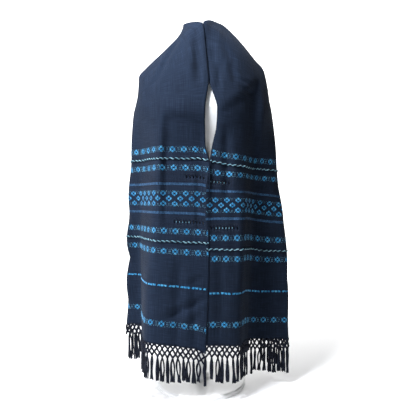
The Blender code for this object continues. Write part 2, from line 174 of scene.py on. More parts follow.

# Creases on the fronts, listed one by one: from (x, z) to (x, z), how wide and how deep, ridges below zero
CREASES = dict(
    left=[
        dict(start=(-0.072, 1.045), stop=(-0.116, 0.935), wide=0.008, deep=0.0075),
        dict(start=(-0.014, 1.080), stop=(-0.006, 0.900), wide=0.011, deep=0.0085),
        dict(start=(-0.090, 0.960), stop=(-0.140, 0.890), wide=0.009, deep=0.0025),
        dict(start=(-0.104, 0.800), stop=(-0.104, 0.680), wide=0.009, deep=-0.0030),
        dict(start=(0.010, 0.285), stop=(-0.100, 0.230), wide=0.009, deep=0.0055),
        dict(start=(0.012, 0.345), stop=(-0.050, 0.320), wide=0.008, deep=0.0032),
        dict(start=(0.006, 0.240), stop=(-0.050, 0.205), wide=0.007, deep=0.0028),
        dict(start=(-0.058, 0.400), stop=(-0.066, 0.150), wide=0.014, deep=0.0035),
        dict(start=(-0.020, 0.330), stop=(-0.014, 0.150), wide=0.012, deep=0.0030),
        dict(start=(-0.008, 0.640), stop=(-0.008, 0.460), wide=0.006, deep=0.0018),
    ],
    right=[
        dict(start=(0.110, 0.880), stop=(0.150, 0.868), wide=0.007, deep=0.0035),
        dict(start=(0.112, 0.900), stop=(0.148, 0.893), wide=0.006, deep=0.0030),
        dict(start=(0.026, 1.085), stop=(0.030, 0.940), wide=0.014, deep=0.0042),
        dict(start=(0.034, 1.005), stop=(0.044, 0.930), wide=0.007, deep=0.0045),
        dict(start=(0.062, 1.010), stop=(0.100, 0.950), wide=0.008, deep=0.0035),
        dict(start=(0.057, 0.960), stop=(0.047, 0.865), wide=0.008, deep=0.0045),
        dict(start=(0.085, 0.950), stop=(0.100, 0.895), wide=0.008, deep=0.0038),
        dict(start=(0.072, 0.760), stop=(0.076, 0.560), wide=0.011, deep=0.0050),
        dict(start=(0.060, 0.420), stop=(0.052, 0.155), wide=0.014, deep=0.0035),
        dict(start=(0.095, 0.560), stop=(0.090, 0.330), wide=0.012, deep=0.0030),
    ],
)
# Where the cloth turns in below the bust: the line's points (x, z), how far in, how much more at the side
OVERHANGS = dict(
    left=dict(line=[(-0.112, 0.800), (-0.085, 0.806), (-0.043, 0.806), (0.020, 0.786)],
              deep=0.0180, aside=0.0),
    right=dict(line=[(0.020, 0.802), (0.048, 0.816), (0.090, 0.846), (0.132, 0.880), (0.168, 0.922)],
               deep=0.0190, aside=0.5),
)

# Twisted cords: two plies, the radius of one, how far it is off the cord's middle, and one full twist
PLY, PLY_OFF, TWIST = 0.0016, 0.0014, 0.0140

# Fringe
FRINGE_LENGTH = 0.101   # from the hem to the ends of the tassels
NET_PITCH = 0.0144      # from knot to knot along the hem
NET_ROWS = 3
NET_STEP = 0.0104       # from one row of knots down to the next
NET_CORD = 0.0031
KNOT = (0.0016, 0.0030, 0.0034, 0.0030, 0.0017)  # radii of a knot from top to bottom
TASSEL_STRANDS = 7
STRAND = 0.00165


# ---- curves -------------------------------------------------------------------------------------
def through(points, n=24):
    """A centripetal Catmull-Rom line through the points, densely divided."""
    p = np.asarray(points, float)
    p = np.vstack([2 * p[0] - p[1], p, 2 * p[-1] - p[-2]])
    chord = np.maximum(np.linalg.norm(np.diff(p, axis=0), axis=1), 1e-9)
    t = np.concatenate([[0], np.cumsum(chord ** 0.5)])
    out = []
    for i in range(1, len(p) - 2):
        w = np.linspace(t[i], t[i + 1], n, endpoint=i == len(p) - 3)[:, None]
        a = [((t[k + 1] - w) * p[k] + (w - t[k]) * p[k + 1]) / (t[k + 1] - t[k]) for k in (i - 1, i, i + 1)]
        b = [((t[k + 2] - w) * a[k - i + 1] + (w - t[k]) * a[k - i + 2]) / (t[k + 2] - t[k])
             for k in (i - 1, i)]
        out.append(((t[i + 1] - w) * b[0] + (w - t[i]) * b[1]) / (t[i + 1] - t[i]))
    return np.vstack(out)


def lengths(p):
    """The length run at each point of a line."""
    return np.concatenate([[0], np.cumsum(np.linalg.norm(np.diff(p, axis=0), axis=1))])


def along(p, s):
    """The line's points at the lengths s."""
    a = lengths(p)
    return np.stack([np.interp(s, a, p[:, k]) for k in range(3)], 1)


def softened(p, reach=0.006, step=0.002):
    """The line with its corners rounded, its ends left in place."""
    q = along(p, np.linspace(0, lengths(p)[-1], int(lengths(p)[-1] / step)))
    weight = np.exp(-0.5 * (np.arange(-12, 13) * step / reach) ** 2)
    pad = np.vstack([2 * q[0] - q[12:0:-1], q, 2 * q[-1] - q[-2:-14:-1]])
    return np.stack([np.convolve(pad[:, k], weight / weight.sum(), "valid") for k in range(3)], 1)


def ease(x, a, b):
    """0 up to a, 1 from b on, smooth between."""
    t = np.clip((x - a) / (b - a), 0, 1)
    return t * t * (3 - 2 * t)


def bell(x, width):
    """1 at zero, falling off smoothly over the width."""
    return np.exp(-((x / width) ** 2))


# ---- the cloth's form ---------------------------------------------------------------------------
def gathered(front, behind, u):
    """The weft line over the ridge: full width in front, drawn together behind the shoulder tip."""
    line = softened(through(front + behind))
    tip = lengths(through(front))[-1]
    rest = (lengths(line)[-1] - tip) / (WEB - tip)
    soft = GATHER_START * np.log1p(np.exp((u - tip) / GATHER_START))
    return along(line, u - soft * (1 - rest))


def weft(front, behind, side, u):
    """One weft line: plain through the front points, then folded so that the web's whole width fits."""
    ahead = through(front)
    mean = through([front[-1]] + behind)
    mean = along(mean, np.linspace(0, lengths(mean)[-1], 90))
    way = np.gradient(mean, axis=0)
    way /= np.linalg.norm(way, axis=1)[:, None]
    outwards = np.stack([-way[:, 1], way[:, 0], 0 * way[:, 0]], 1) * (1 if side == "left" else -1)
    tau = np.linspace(0, 1, len(mean))[:, None]
    hump = outwards * np.sin(np.pi * FOLDS * tau) ** 2 * (0.35 + 0.65 * tau ** 0.6)
    low, high = 0.0, 0.12
    for _ in range(26):  # halve the range until the folded line is as long as the web is wide
        fold = (low + high) / 2
        line = softened(np.vstack([ahead, (mean + fold * hump)[1:]]))
        if lengths(line)[-1] < WEB:
            low = fold
        else:
            high = fold
    return along(line, u)


def hanging_rows(side, u):
    """Weft lines of the stretch that hangs, from the hem to the bust, with their places."""
    z_edge, x_edge = np.array(SELVEDGE[side]).T
    rows = []
    for r in SECTIONS[side]:
        z = r["z"]
        inner = (np.interp(z, z_edge, x_edge), FRONT_DEPTH[side] + 0.004 * ease(z, 0.60, 0.72), z)
        p = weft([inner] + [(*r[k], z) for k in WAY], [(*r["back"], z), (*r["end"], z)], side, u)
        # the outer stretch hangs lower, all along the line near the bust and from mid width near the hem
        high = ease(z, 0.56, 0.68)
        drop = ease(u, 0.12, 0.24 + 0.10 * ease(z, 0.35, 0.50)) * (1 - high)
        drop = drop + 1.15 * (1 - np.exp(-u / 0.07)) * high
        p[:, 2] -= OUTER_DROP[side] * drop * (1 - ease(z, 0.70, 0.90))
        if side == "left":
            p[:, 2] += LEFT_TILT * (1 - ease(z, 0.10, 0.72)) * (np.clip(u / 0.15, 0, 1) - 0.45)
            p[:, 2] -= CORNER_DROOP * (1 - ease(z, 0.10, 0.30)) * bell(u, 0.02)
            p[:, 2] -= EDGE_SAG * ease(z, 0.40, 0.55) * (1 - ease(z, 0.72, 0.80)) * bell(u, 0.018)
        rows.append(p)
    return rows, [r["z"] for r in SECTIONS[side]]


def chest_rows(side, u, bust, ridge):
    """Weft lines from the bust to the ridge: upright at first, then turning in over the shoulder."""
    z_edge, x_edge = np.array(SELVEDGE[side]).T
    tip = ease(u, 0.19, 0.27)
    lean_x = (0.25 * ease(u, 0, 0.05) + 0.30 * ease(u, 0.05, 0.20)) * (1 - tip) + tip
    lean_y = 0.46 * (1 - tip) + tip
    turns = [3.5 + most / (1 + (u / 0.012) ** 1.5) for most in (15.0, 24.0)]  # sharpest next to the neck
    rows, places = [], []
    for s in (0.12, 0.25, 0.40, 0.55, 0.70, 0.82, 0.90, 0.93, 0.955, 0.975, 0.99, 1.0):
        p = np.empty_like(bust)
        for k, lean, turn in ((0, lean_x, turns[0]), (1, lean_y, turns[1])):
            rise = (ridge[:, k] - bust[:, k]) * lean
            p[:, k] = bust[:, k] + rise * s + (ridge[:, k] - bust[:, k] - rise) * s ** turn
        p[:, 2] = BUST_Z + (ridge[:, 2] - BUST_Z) * s
        hold = 1 - s ** turns[0][0]
        edge = np.interp(p[0, 2], z_edge, x_edge) * hold + ridge[0, 0] * (1 - hold)
        p[:, 0] += (edge - p[0, 0]) * np.exp(-((u / 0.05) ** 1.5))
        p[:, 1] += LAPPED[side] * bell(u, 0.03) * hold * ease(s, 0, 0.25)
        rows.append(p)
        places.append(BUST_Z + (RIDGE_PLACE - BUST_Z) * s)
    return rows, places


def back_rows(u, ridge):
    """Weft lines from the ridge to the centre of the back: a quarter turn at the neck, a swag below."""
    blade_y = NAPE_Y + BACK_Y * ease(u, -0.05, 0.16)
    blade_y += 0.006 * np.sin(2 * np.pi * u / 0.13) * ease(u, 0.10, 0.30)
    centre = np.stack([0 * u, blade_y, NAPE_Z - u * BACK_DROP / WEB], 1)
    swag = ease(u, 0.02, 0.16)
    rows, places = [], []
    for t in (0.12, 0.25, 0.40, 0.55, 0.70, 0.85, 1.0):
        a = math.pi * t / 2
        p = np.empty_like(ridge)
        p[:, 0] = ridge[:, 0] * ((1 - swag) * math.cos(a) + swag * (1 - t))
        back = math.sin(a) ** (0.9 + 0.4 * ease(u, 0.2, 0.35))
        p[:, 1] = ridge[:, 1] + (centre[:, 1] - ridge[:, 1]) * back
        p[:, 2] = centre[:, 2] + (ridge[:, 2] - centre[:, 2]) * (
            (1 - swag) * (1 - math.sin(a)) + swag * (1 - math.sin(a) ** 1.6))
        rows.append(p)
        places.append(RIDGE_PLACE + (CENTRE_PLACE - RIDGE_PLACE) * t)
    return rows, places


def draped(side, u, at):
    """Points of the cloth's middle surface: warp threads run as cubic lines through the weft lines."""
    hanging, hanging_at = hanging_rows(side, u)
    ridge = gathered(RIDGE[side], BEHIND[side], u)
    chest, chest_at = chest_rows(side, u, hanging[-1], ridge)
    back, back_at = back_rows(u, ridge)
    p, q = np.array(hanging + chest + back), np.array(hanging_at + chest_at + back_at)
    dq = np.diff(q)[:, None, None]
    d = np.diff(p, axis=0) / dq
    slope = np.empty_like(p)
    slope[1:-1] = (d[:-1] * dq[1:] + d[1:] * dq[:-1]) / (dq[:-1] + dq[1:])
    slope[0], slope[-1] = d[0], d[-1] * [1, 0, 0]
    i = np.clip(np.searchsorted(q, at, "right") - 1, 0, len(q) - 2)
    h = dq[i]
    t = (at - q[i])[:, None, None] / h
    return ((2 * t ** 3 - 3 * t ** 2 + 1) * p[i] + (t ** 3 - 2 * t ** 2 + t) * h * slope[i]
            + (3 * t ** 2 - 2 * t ** 3) * p[i + 1] + (t ** 3 - t ** 2) * h * slope[i + 1])


def normals(g):
    """Unit normals of a grid of points."""
    n = np.cross(np.gradient(g, axis=1), np.gradient(g, axis=0))
    return n / np.maximum(np.linalg.norm(n, axis=2), 1e-12)[..., None]


def crease(g, start, stop, wide, deep):
    """How far each point moves in for one crease: a trough with a low ridge along each side of it."""
    a, b = np.array(start), np.array(stop)
    rel = g[..., [0, 2]] - a
    t = np.clip(rel @ (b - a) / ((b - a) @ (b - a)), -0.15, 1.15)
    off = np.linalg.norm(rel - t[..., None] * (b - a), axis=2)
    fading = ease(t, -0.15, 0.2) * (1 - ease(t, 0.8, 1.15))
    return deep * (bell(off, wide) - 0.45 * bell(off - 1.9 * wide, wide)) * fading


def turned_in(g, line, deep, aside):
    """How far each point moves in below the bust: quickly at first, then slowly, and out again at the hip."""
    x, z = np.array(line).T
    below = np.interp(g[..., 0], x, z) - g[..., 2]
    within = ease(g[..., 0], x[0] - 0.006, x[0] + 0.016) * (1 - ease(g[..., 0], x[-1] - 0.020, x[-1] + 0.02))
    inwards = 0.55 * ease(below, -0.008, 0.028) + 0.45 * ease(below, 0.010, 0.110)
    sideways = 1 + aside * (np.abs(g[..., 0]) / 0.10 - 1)
    return deep * sideways * within * inwards * (1 - ease(below, 0.140, 0.430))


def creased(side, g, u, at):
    """The drape with its creases, its turn below the bust, its standing collar and its folds at the back."""
    z_edge, x_edge = np.array(SELVEDGE[side]).T
    edge = np.interp(g[:, 0, 2], z_edge, x_edge) - g[:, 0, 0]
    g[..., 0] += (edge * (at < BUST_Z))[:, None] * np.exp(-((u / 0.05) ** 1.5))[None, :]
    front = (1 - ease(u, 0.15, 0.21))[None, :] * (at < RIDGE_PLACE)[:, None]
    for c in CREASES[side]:
        g[..., 1] += crease(g, **c) * front
    g[..., 1] += turned_in(g, **OVERHANGS[side]) * front
    stand = np.interp(at, *np.array(COLLAR_STAND[side]).T)
    g[..., 2] += stand[:, None] * bell(u, COLLAR_WIDTH)[None, :]
    back = ease(at, RIDGE_PLACE + 0.02, CENTRE_PLACE)[:, None]
    wave = np.sin(2 * np.pi * (u[None, :] / 0.072) + 1.4 * back) * ease(u, 0.06, 0.20)[None, :]
    g[..., 1] += SWAG_FOLD * wave * back
    return g


# ---- colours and nodes --------------------------------------------------------------------------
RIPPLE = math.pi / 10  # a wave texture of scale 1 repeats after this many metres


def colour(code):
    """An sRGB hex colour as linear values with full alpha."""
    parts = [int(code[i:i + 2], 16) / 255 for i in (1, 3, 5)]
    return (*[c / 12.92 if c <= 0.04045 else ((c + 0.055) / 1.055) ** 2.4 for c in parts], 1.0)


def add(tree, kind, settings=None, links=None):
    """A shader node of the kind named: its attributes, inputs or ramp's stops, and its incoming links."""
    node = tree.nodes.new("ShaderNode" + kind)
    for key, value in (settings or {}).items():
        if key == "stops":
            for place, _ in value[1:-1]:
                node.color_ramp.elements.new(place)
            for stop, (place, paint) in zip(node.color_ramp.elements, value):
                stop.position, stop.color = place, colour(paint)
        elif isinstance(key, str) and hasattr(node, key):
            setattr(node, key, value)
        else:
            node.inputs[key].default_value = value
    for key, source in (links or {}).items():
        tree.links.new(source, node.inputs[key])
    return node


def finish_of(name, settings):
    """A new material, its tree and its surface shader."""
    m = bpy.data.materials.new(name)
    m.use_nodes = True
    tree = m.node_tree
    shader = tree.nodes["Principled BSDF"]
    for key, value in settings.items():
        shader.inputs[key].default_value = value
    return m, tree, shader


def navy_handwoven_cotton():
    """Indigo-dyed cotton in plain weave on a backstrap loom: matt, with slubs along both threads."""
    m, tree, shader = finish_of("navy_handwoven_cotton", {
        "Roughness": 0.88, "IOR": 1.5, "Sheen Weight": 0.02, "Sheen Roughness": 0.5,
        "Specular IOR Level": 0.06})
    web = add(tree, "UVMap", {"uv_map": "web"}).outputs["UV"]
    # slubs 45 mm long and 1.6 mm thick along the weft, 70 mm long and 1.3 mm thick along the warp
    streaks = []
    for across, down in ((0.045, 0.0016), (0.0013, 0.070)):
        stretched = add(tree, "Mapping", {"Scale": (1 / across, 1 / down, 1.0)}, {"Vector": web})
        noise = add(tree, "TexNoise", {"Scale": 1.0, "Detail": 2.0}, {"Vector": stretched.outputs[0]})
        streaks.append(noise.outputs["Fac"])
    both = add(tree, "Math", {"operation": "ADD"}, {0: streaks[0], 1: streaks[1]})
    half = add(tree, "Math", {"operation": "MULTIPLY", 1: 0.5}, {0: both.outputs[0]})
    tone = add(tree, "ValToRGB", {"stops": [(0.34, "#151d2a"), (0.52, "#1b2535"), (0.68, "#263245")]},
               {"Fac": half.outputs[0]})
    # the dye took unevenly over a hand's breadth
    cloudy = add(tree, "TexNoise", {"Scale": 1 / 0.090, "Detail": 3.0}, {"Vector": web})
    shade = add(tree, "MapRange", {"To Min": 0.86, "To Max": 1.12}, {"Value": cloudy.outputs["Fac"]})
    # painted shade: the right-hand end is drawn darker for the shade that the right panel hangs
    # in; the right-hand end is drawn deeper, as a guess that it kept more of its dye
    length = add(tree, "SeparateXYZ", links={0: web}).outputs["Y"]
    painted_shade_right_end = add(tree, "MapRange", {"From Min": 1.35, "From Max": 1.75, "To Min": 1.0, "To Max": 0.71},
               {"Value": length})
    # the uneven dye times the painted shade of the right-hand end
    dye_cloud_and_painted_shade = add(tree, "Math", {"operation": "MULTIPLY"}, {0: shade.outputs[0], 1: painted_shade_right_end.outputs[0]})
    dyed = add(tree, "VectorMath", {"operation": "SCALE"},
               {"Vector": tone.outputs["Color"], "Scale": dye_cloud_and_painted_shade.outputs[0]})
    tree.links.new(dyed.outputs[0], shader.inputs["Base Color"])
    # threads really 0.5 mm apart, drawn 1.4 mm apart so that they show
    weave = []
    for direction in ("X", "Y"):
        wave = add(tree, "TexWave", {"bands_direction": direction, "Scale": RIPPLE / 0.0014,
                                     "Distortion": 1.2, "Detail": 1.0}, {"Vector": web})
        weave.append(wave.outputs["Fac"])
    cross = add(tree, "Math", {"operation": "MULTIPLY"}, {0: weave[0], 1: weave[1]})
    high = add(tree, "Math", {"operation": "ADD"}, {0: cross.outputs[0], 1: both.outputs[0]})
    bump = add(tree, "Bump", {"Strength": 0.35, "Distance": 0.0008}, {"Height": high.outputs[0]})
    tree.links.new(bump.outputs[0], shader.inputs["Normal"])
    return m


def spun_yarn(name, deep, middle, light, rough=0.7, sheen=0.2, fibre=0.00067):
    """Spun cotton yarn: soft, with its fibres and its twist showing as fine streaks, in patches of 6 mm."""
    m, tree, shader = finish_of(name, {
        "Roughness": rough, "IOR": 1.5, "Sheen Weight": sheen, "Sheen Roughness": 0.4,
        "Specular IOR Level": 0.12})
    place = add(tree, "TexCoord").outputs["Object"]
    fine = add(tree, "TexNoise", {"Scale": 1 / fibre, "Detail": 2.0, "Roughness": 0.6}, {"Vector": place})
    patch = add(tree, "TexNoise", {"Scale": 1 / 0.006, "Detail": 1.0}, {"Vector": place})
    both = add(tree, "Math", {"operation": "ADD"}, {0: fine.outputs["Fac"], 1: patch.outputs["Fac"]})
    half = add(tree, "Math", {"operation": "MULTIPLY", 1: 0.5}, {0: both.outputs[0]})
    tone = add(tree, "ValToRGB", {"stops": [(0.36, deep), (0.5, middle), (0.64, light)]},
               {"Fac": half.outputs[0]})
    tree.links.new(tone.outputs["Color"], shader.inputs["Base Color"])
    bump = add(tree, "Bump", {"Strength": 0.3, "Distance": 0.0004}, {"Height": fine.outputs["Fac"]})
    tree.links.new(bump.outputs[0], shader.inputs["Normal"])
    return m


def white_jersey():
    """The dress form's cotton jersey cover: fine knit ribs, darker and warmer towards the hips."""
    m, tree, shader = finish_of("white_cotton_jersey", {
        "Roughness": 0.85, "IOR": 1.5, "Sheen Weight": 0.15, "Specular IOR Level": 0.3})
    place = add(tree, "TexCoord").outputs["Object"]
    height = add(tree, "SeparateXYZ", links={0: place}).outputs["Z"]
    up = add(tree, "MapRange", {"From Min": 0.60, "From Max": 0.95}, {"Value": height})
    cloud = add(tree, "TexNoise", {"Scale": 1 / 0.070, "Detail": 4.0}, {"Vector": place})
    mixed = add(tree, "Math", {"operation": "MULTIPLY_ADD", 1: 0.35},
                {0: cloud.outputs["Fac"], 2: up.outputs[0]})
    tone = add(tree, "ValToRGB", {"stops": [(0.1, "#ece8e2"), (0.55, "#f0f0ee"), (1.0, "#f4f9fc")]},
               {"Fac": mixed.outputs[0]})
    tree.links.new(tone.outputs["Color"], shader.inputs["Base Color"])
    # knit ribs really 0.7 mm apart, drawn 2 mm apart so that they show
    rib = add(tree, "TexWave", {"bands_direction": "X", "Scale": RIPPLE / 0.0020, "Distortion": 0.6},
              {"Vector": place})
    speck = add(tree, "TexNoise", {"Scale": 1 / 0.0011, "Detail": 1.0}, {"Vector": place})
    high = add(tree, "Math", {"operation": "ADD"}, {0: rib.outputs["Fac"], 1: speck.outputs["Fac"]})
    bump = add(tree, "Bump", {"Strength": 0.25, "Distance": 0.0006}, {"Height": high.outputs[0]})
    tree.links.new(bump.outputs[0], shader.inputs["Normal"])
    return m


def white_enamel():
    """Stove enamel on steel: satin, with a faint orange peel 4 mm wide and slight dulling."""
    m, tree, shader = finish_of("white_stove_enamel", {
        "IOR": 1.52, "Coat Weight": 0.2, "Coat Roughness": 0.15})
    place = add(tree, "TexCoord").outputs["Object"]
    dull = add(tree, "TexNoise", {"Scale": 1 / 0.040, "Detail": 4.0}, {"Vector": place})
    rough = add(tree, "MapRange", {"To Min": 0.34, "To Max": 0.42}, {"Value": dull.outputs["Fac"]})
    tree.links.new(rough.outputs["Result"], shader.inputs["Roughness"])
    tone = add(tree, "ValToRGB", {"stops": [(0.35, "#ebebe9"), (0.65, "#f0f0ee")]},
               {"Fac": dull.outputs["Fac"]})
    tree.links.new(tone.outputs["Color"], shader.inputs["Base Color"])
    peel = add(tree, "TexNoise", {"Scale": 1 / 0.0038, "Detail": 1.0}, {"Vector": place})
    bump = add(tree, "Bump", {"Strength": 0.06, "Distance": 0.0004}, {"Height": peel.outputs["Fac"]})
    tree.links.new(bump.outputs[0], shader.inputs["Normal"])
    return m


def pale_paper():
    """Matt seamless paper for the floor and the wall, lit through from behind towards the back."""
    m, tree, shader = finish_of("pale_seamless_paper", {
        "Roughness": 0.9, "Specular IOR Level": 0.1, "Emission Color": colour("#ffffff")})
    place = add(tree, "TexCoord").outputs["Object"]
    depth = add(tree, "SeparateXYZ", links={0: place}).outputs["Y"]
    glow = add(tree, "MapRange", {"From Min": -0.45, "From Max": 1.2, "To Min": 0.05, "To Max": 0.80},
               {"Value": depth})
    tree.links.new(glow.outputs["Result"], shader.inputs["Emission Strength"])
    grain = add(tree, "TexNoise", {"Scale": 1 / 0.025, "Detail": 3.0}, {"Vector": place})
    tone = add(tree, "ValToRGB", {"stops": [(0.3, "#f4f4f4"), (0.7, "#f8f8f8")]},
               {"Fac": grain.outputs["Fac"]})
    tree.links.new(tone.outputs["Color"], shader.inputs["Base Color"])
    return m


# ---- mesh helpers -------------------------------------------------------------------------------
def piece(name, points, faces, paint):
    """A smooth mesh object with its material and the slot that it takes its finish from."""
    mesh = bpy.data.meshes.new(name)
    mesh.from_pydata(np.asarray(points).tolist(), [], [tuple(int(v) for v in f) for f in faces])
    mesh.polygons.foreach_set("use_smooth", [True] * len(mesh.polygons))
    mesh.materials.append(paint)
    obj = bpy.data.objects.new(name, mesh)
    bpy.context.scene.collection.objects.link(obj)
    return obj


def tubes(runs, sides=6):
    """Closed tubes along runs of (points, radii), as one set of points and faces."""
    points, faces, base = [], [], 0
    turn = 2 * np.pi * np.arange(sides) / sides
    for line, radius in runs:
        t = np.gradient(line, axis=0)
        t /= np.maximum(np.linalg.norm(t, axis=1), 1e-9)[:, None]
        a = np.cross(t, [0.31, 0.92, 0.22])  # any direction that no tube runs along
        a /= np.maximum(np.linalg.norm(a, axis=1), 1e-9)[:, None]
        b = np.cross(t, a)
        ring = line[:, None] + np.asarray(radius)[:, None, None] * (
            a[:, None] * np.cos(turn)[None, :, None] + b[:, None] * np.sin(turn)[None, :, None])
        n = len(line)
        points += [ring.reshape(-1, 3), line[[0, -1]]]
        for k in range(sides):
            j = (k + 1) % sides
            faces += [(base + i * sides + k, base + i * sides + j,
                       base + (i + 1) * sides + j, base + (i + 1) * sides + k) for i in range(n - 1)]
            faces.append((base + k, base + n * sides, base + j))
            faces.append((base + (n - 1) * sides + j, base + n * sides + 1, base + (n - 1) * sides + k))
        base += n * sides + 2
    return np.vstack(points), faces


# ---- the cloth ----------------------------------------------------------------------------------
columns = [0.0]
while columns[-1] < WEB - BAR:
    columns += [columns[-1] + BAR, columns[-1] + BAR + HOLE]
columns = np.array([c for c in columns if c < WEB - 0.001] + [WEB])


def places_of(side):
    """Rows of the cloth's grid on one side, finer at the openwork and the neck, and the open ones."""
    hem = SECTIONS[side][0]["z"]
    stops = [hem]
    slits = sorted((b[side], b["open"][side]) for b in BANDS if b["kind"] == "openwork")
    for z, _ in slits:
        stops += [z - OPENWORK_TALL / 2, z + OPENWORK_TALL / 2]
    stops += [BUST_Z, 1.06, RIDGE_PLACE, 1.13, CENTRE_PLACE]
    steps = {hem: 0.009, BUST_Z: 0.0085, 1.06: 0.0030, RIDGE_PLACE: 0.0035, 1.13: 0.0085}
    rows = []
    for a, b in zip(stops, stops[1:]):
        n = max(1, round((b - a) / steps.get(a, 0.009)))
        rows += list(np.linspace(a, b, n, endpoint=False))
    rows = np.array(rows + [CENTRE_PLACE])
    open_rows = {int(np.argmin(abs(rows - (z - OPENWORK_TALL / 2)))): reach for z, reach in slits}
    return rows, open_rows


grids = {}
for side in ("left", "right"):
    rows, open_rows = places_of(side)
    grids[side] = dict(rows=rows, open=open_rows, g=creased(side, draped(side, columns, rows), columns, rows))

# one grid from the left hem over both shoulders to the right hem
left, right = grids["left"], grids["right"]
whole = np.concatenate([left["g"], right["g"][-2::-1]])
count_rows, count_columns = whole.shape[:2]
middle_row = len(left["rows"]) - 1

# the inner selvedge eased round the neck, so that the warp threads nearest it turn without a corner
at = np.concatenate([left["rows"], right["rows"][-2::-1]])
round_neck = ease(at, 1.06, 1.09) * (1 - ease(at, 1.16, 1.24))
near = bell(columns, 0.030)[None, :, None] * round_neck[:, None, None]
for _ in range(EASING_PASSES):
    eased = whole.copy()
    eased[1:-1] = 0.25 * whole[:-2] + 0.5 * whole[1:-1] + 0.25 * whole[2:]
    whole += near * (eased - whole)
facing = -normals(whole)
for key, grid in (("g", whole), ("n", facing)):
    left[key], right[key] = grid[:middle_row + 1], grid[middle_row:][::-1]


def on_cloth(side, u, at, lift):
    """Points on the cloth's outer face at web width u and place at, lifted off it."""
    rows = grids[side]["rows"]
    j = np.clip(np.searchsorted(rows, at, "right") - 1, 0, len(rows) - 2)
    i = np.clip(np.searchsorted(columns, u, "right") - 1, 0, len(columns) - 2)
    s = np.clip((at - rows[j]) / (rows[j + 1] - rows[j]), 0, 1)[..., None]
    t = np.clip((u - columns[i]) / (columns[i + 1] - columns[i]), 0, 1)[..., None]
    point, normal = [
        (a[j, i] * (1 - t) + a[j, i + 1] * t) * (1 - s) + (a[j + 1, i] * (1 - t) + a[j + 1, i + 1] * t) * s
        for a in (grids[side]["g"], grids[side]["n"])]
    return point + normal * (np.asarray(lift)[..., None] + CLOTH_THICK / 2)


open_cells = {**left["open"], **{count_rows - 2 - j: reach for j, reach in right["open"].items()}}
faces = []
for j in range(count_rows - 1):
    low, high = open_cells.get(j, (1, 1))
    for i in range(count_columns - 1):
        hole = low < columns[i] < high and abs(columns[i + 1] - columns[i] - HOLE) < 1e-6
        if not hole:
            a = j * count_columns + i
            faces.append((a, a + count_columns, a + count_columns + 1, a + 1))

cloth = piece("shawl_cloth", whole.reshape(-1, 3), faces, navy_handwoven_cotton())
warp = lengths(whole[:, count_columns // 4])
corner = np.array([v for p in cloth.data.polygons for v in p.vertices])
across, down = columns[corner % count_columns], warp[corner // count_columns]
cloth.data.uv_layers.new(name="web").data.foreach_set("uv", np.stack([across, down], 1).ravel())
solid = cloth.modifiers.new("thickness", "SOLIDIFY")
solid.thickness, solid.offset = CLOTH_THICK, 0.0

# ---- brocade, dashes and stripes ------------------------------------------------------------------
AZURE = spun_yarn("azure_mercerised_cotton", "#17618f", "#2f8bc2", "#6cc0e8", rough=0.5, sheen=0.2)
PALE_BLUE = spun_yarn("pale_blue_cotton", "#27445a", "#41708c", "#7fb2c6", rough=0.7, sheen=0.08)
FADED = spun_yarn("muted_blue_cotton", "#22384f", "#2f4f70", "#3f688f", rough=0.7, sheen=0.08)
# the cords' pale ply, also the pale specks of painted light over the openwork holes
AQUA = spun_yarn("pale_aqua_cord_and_painted_light_specks", "#4c7a8c", "#6f9dae", "#a3c8d3", rough=0.75, sheen=0.1)
INK = spun_yarn("dark_navy_cotton_yarn", "#070910", "#0e1320", "#262b38", rough=0.8, sheen=0.06, fibre=0.0014)


def floats(name, side, runs, paint, high=0.0009):
    """Raised yarns lying on the cloth: each run is (start u, stop u, place, half height)."""
    runs = np.array([r for r in runs if r[0] > 0.001 and r[1] < WEB - 0.001])
    start, stop, at, half = runs.T
    inset = np.minimum(0.0006, (stop - start) * 0.25)
    us = np.stack([start, start + inset, stop - inset, stop], 1)[:, :, None] + np.zeros((1, 1, 3))
    qs = at[:, None, None] + half[:, None, None] * np.array([-1.0, 0.0, 1.0])[None, None, :] + 0 * us
    crest = np.array([[0, 0, 0], [0, 1, 0], [0, 1, 0], [0, 0, 0]])[None]
    points = on_cloth(side, us, qs, -0.0002 + (high + 0.0002) * crest + 0 * us)
    cells = np.array([(i * 3 + k, (i + 1) * 3 + k, (i + 1) * 3 + k + 1, i * 3 + k + 1)
                      for i in range(3) for k in range(2)])
    faces = (np.arange(len(runs)) * 12)[:, None, None] + cells[None]
    return piece(name, points.reshape(-1, 3), faces.reshape(-1, 4), paint)


def charted(chart, side, at, tall, letter, slip=0.0):
    """The runs of one letter of a chart, repeated across the web at one place."""
    cell_u, cell_v = REPEAT / len(chart[0]), tall / len(chart)
    runs = []
    for r, line in enumerate(chart):
        place = at + tall / 2 - (r + 0.5) * cell_v
        k = 0
        while k < len(line):
            n = 1
            if line[k] == letter:
                while k + n < len(line) and line[k + n] == letter:
                    n += 1
                for repeat in range(-1, int(WEB / REPEAT) + 2):
                    u = PHASE[side] + repeat * REPEAT + slip + k * cell_u
                    runs.append((u - 0.1 * cell_u, u + n * cell_u + 0.1 * cell_u, place, cell_v * 0.52))
            k += n
    return runs


def dashed(at, long, step, half, start=0.0012, spare=0.006):
    """Short runs of yarn one after another right across the web."""
    return [(u, u + long, at, half) for u in np.arange(start, WEB - spare, step)]


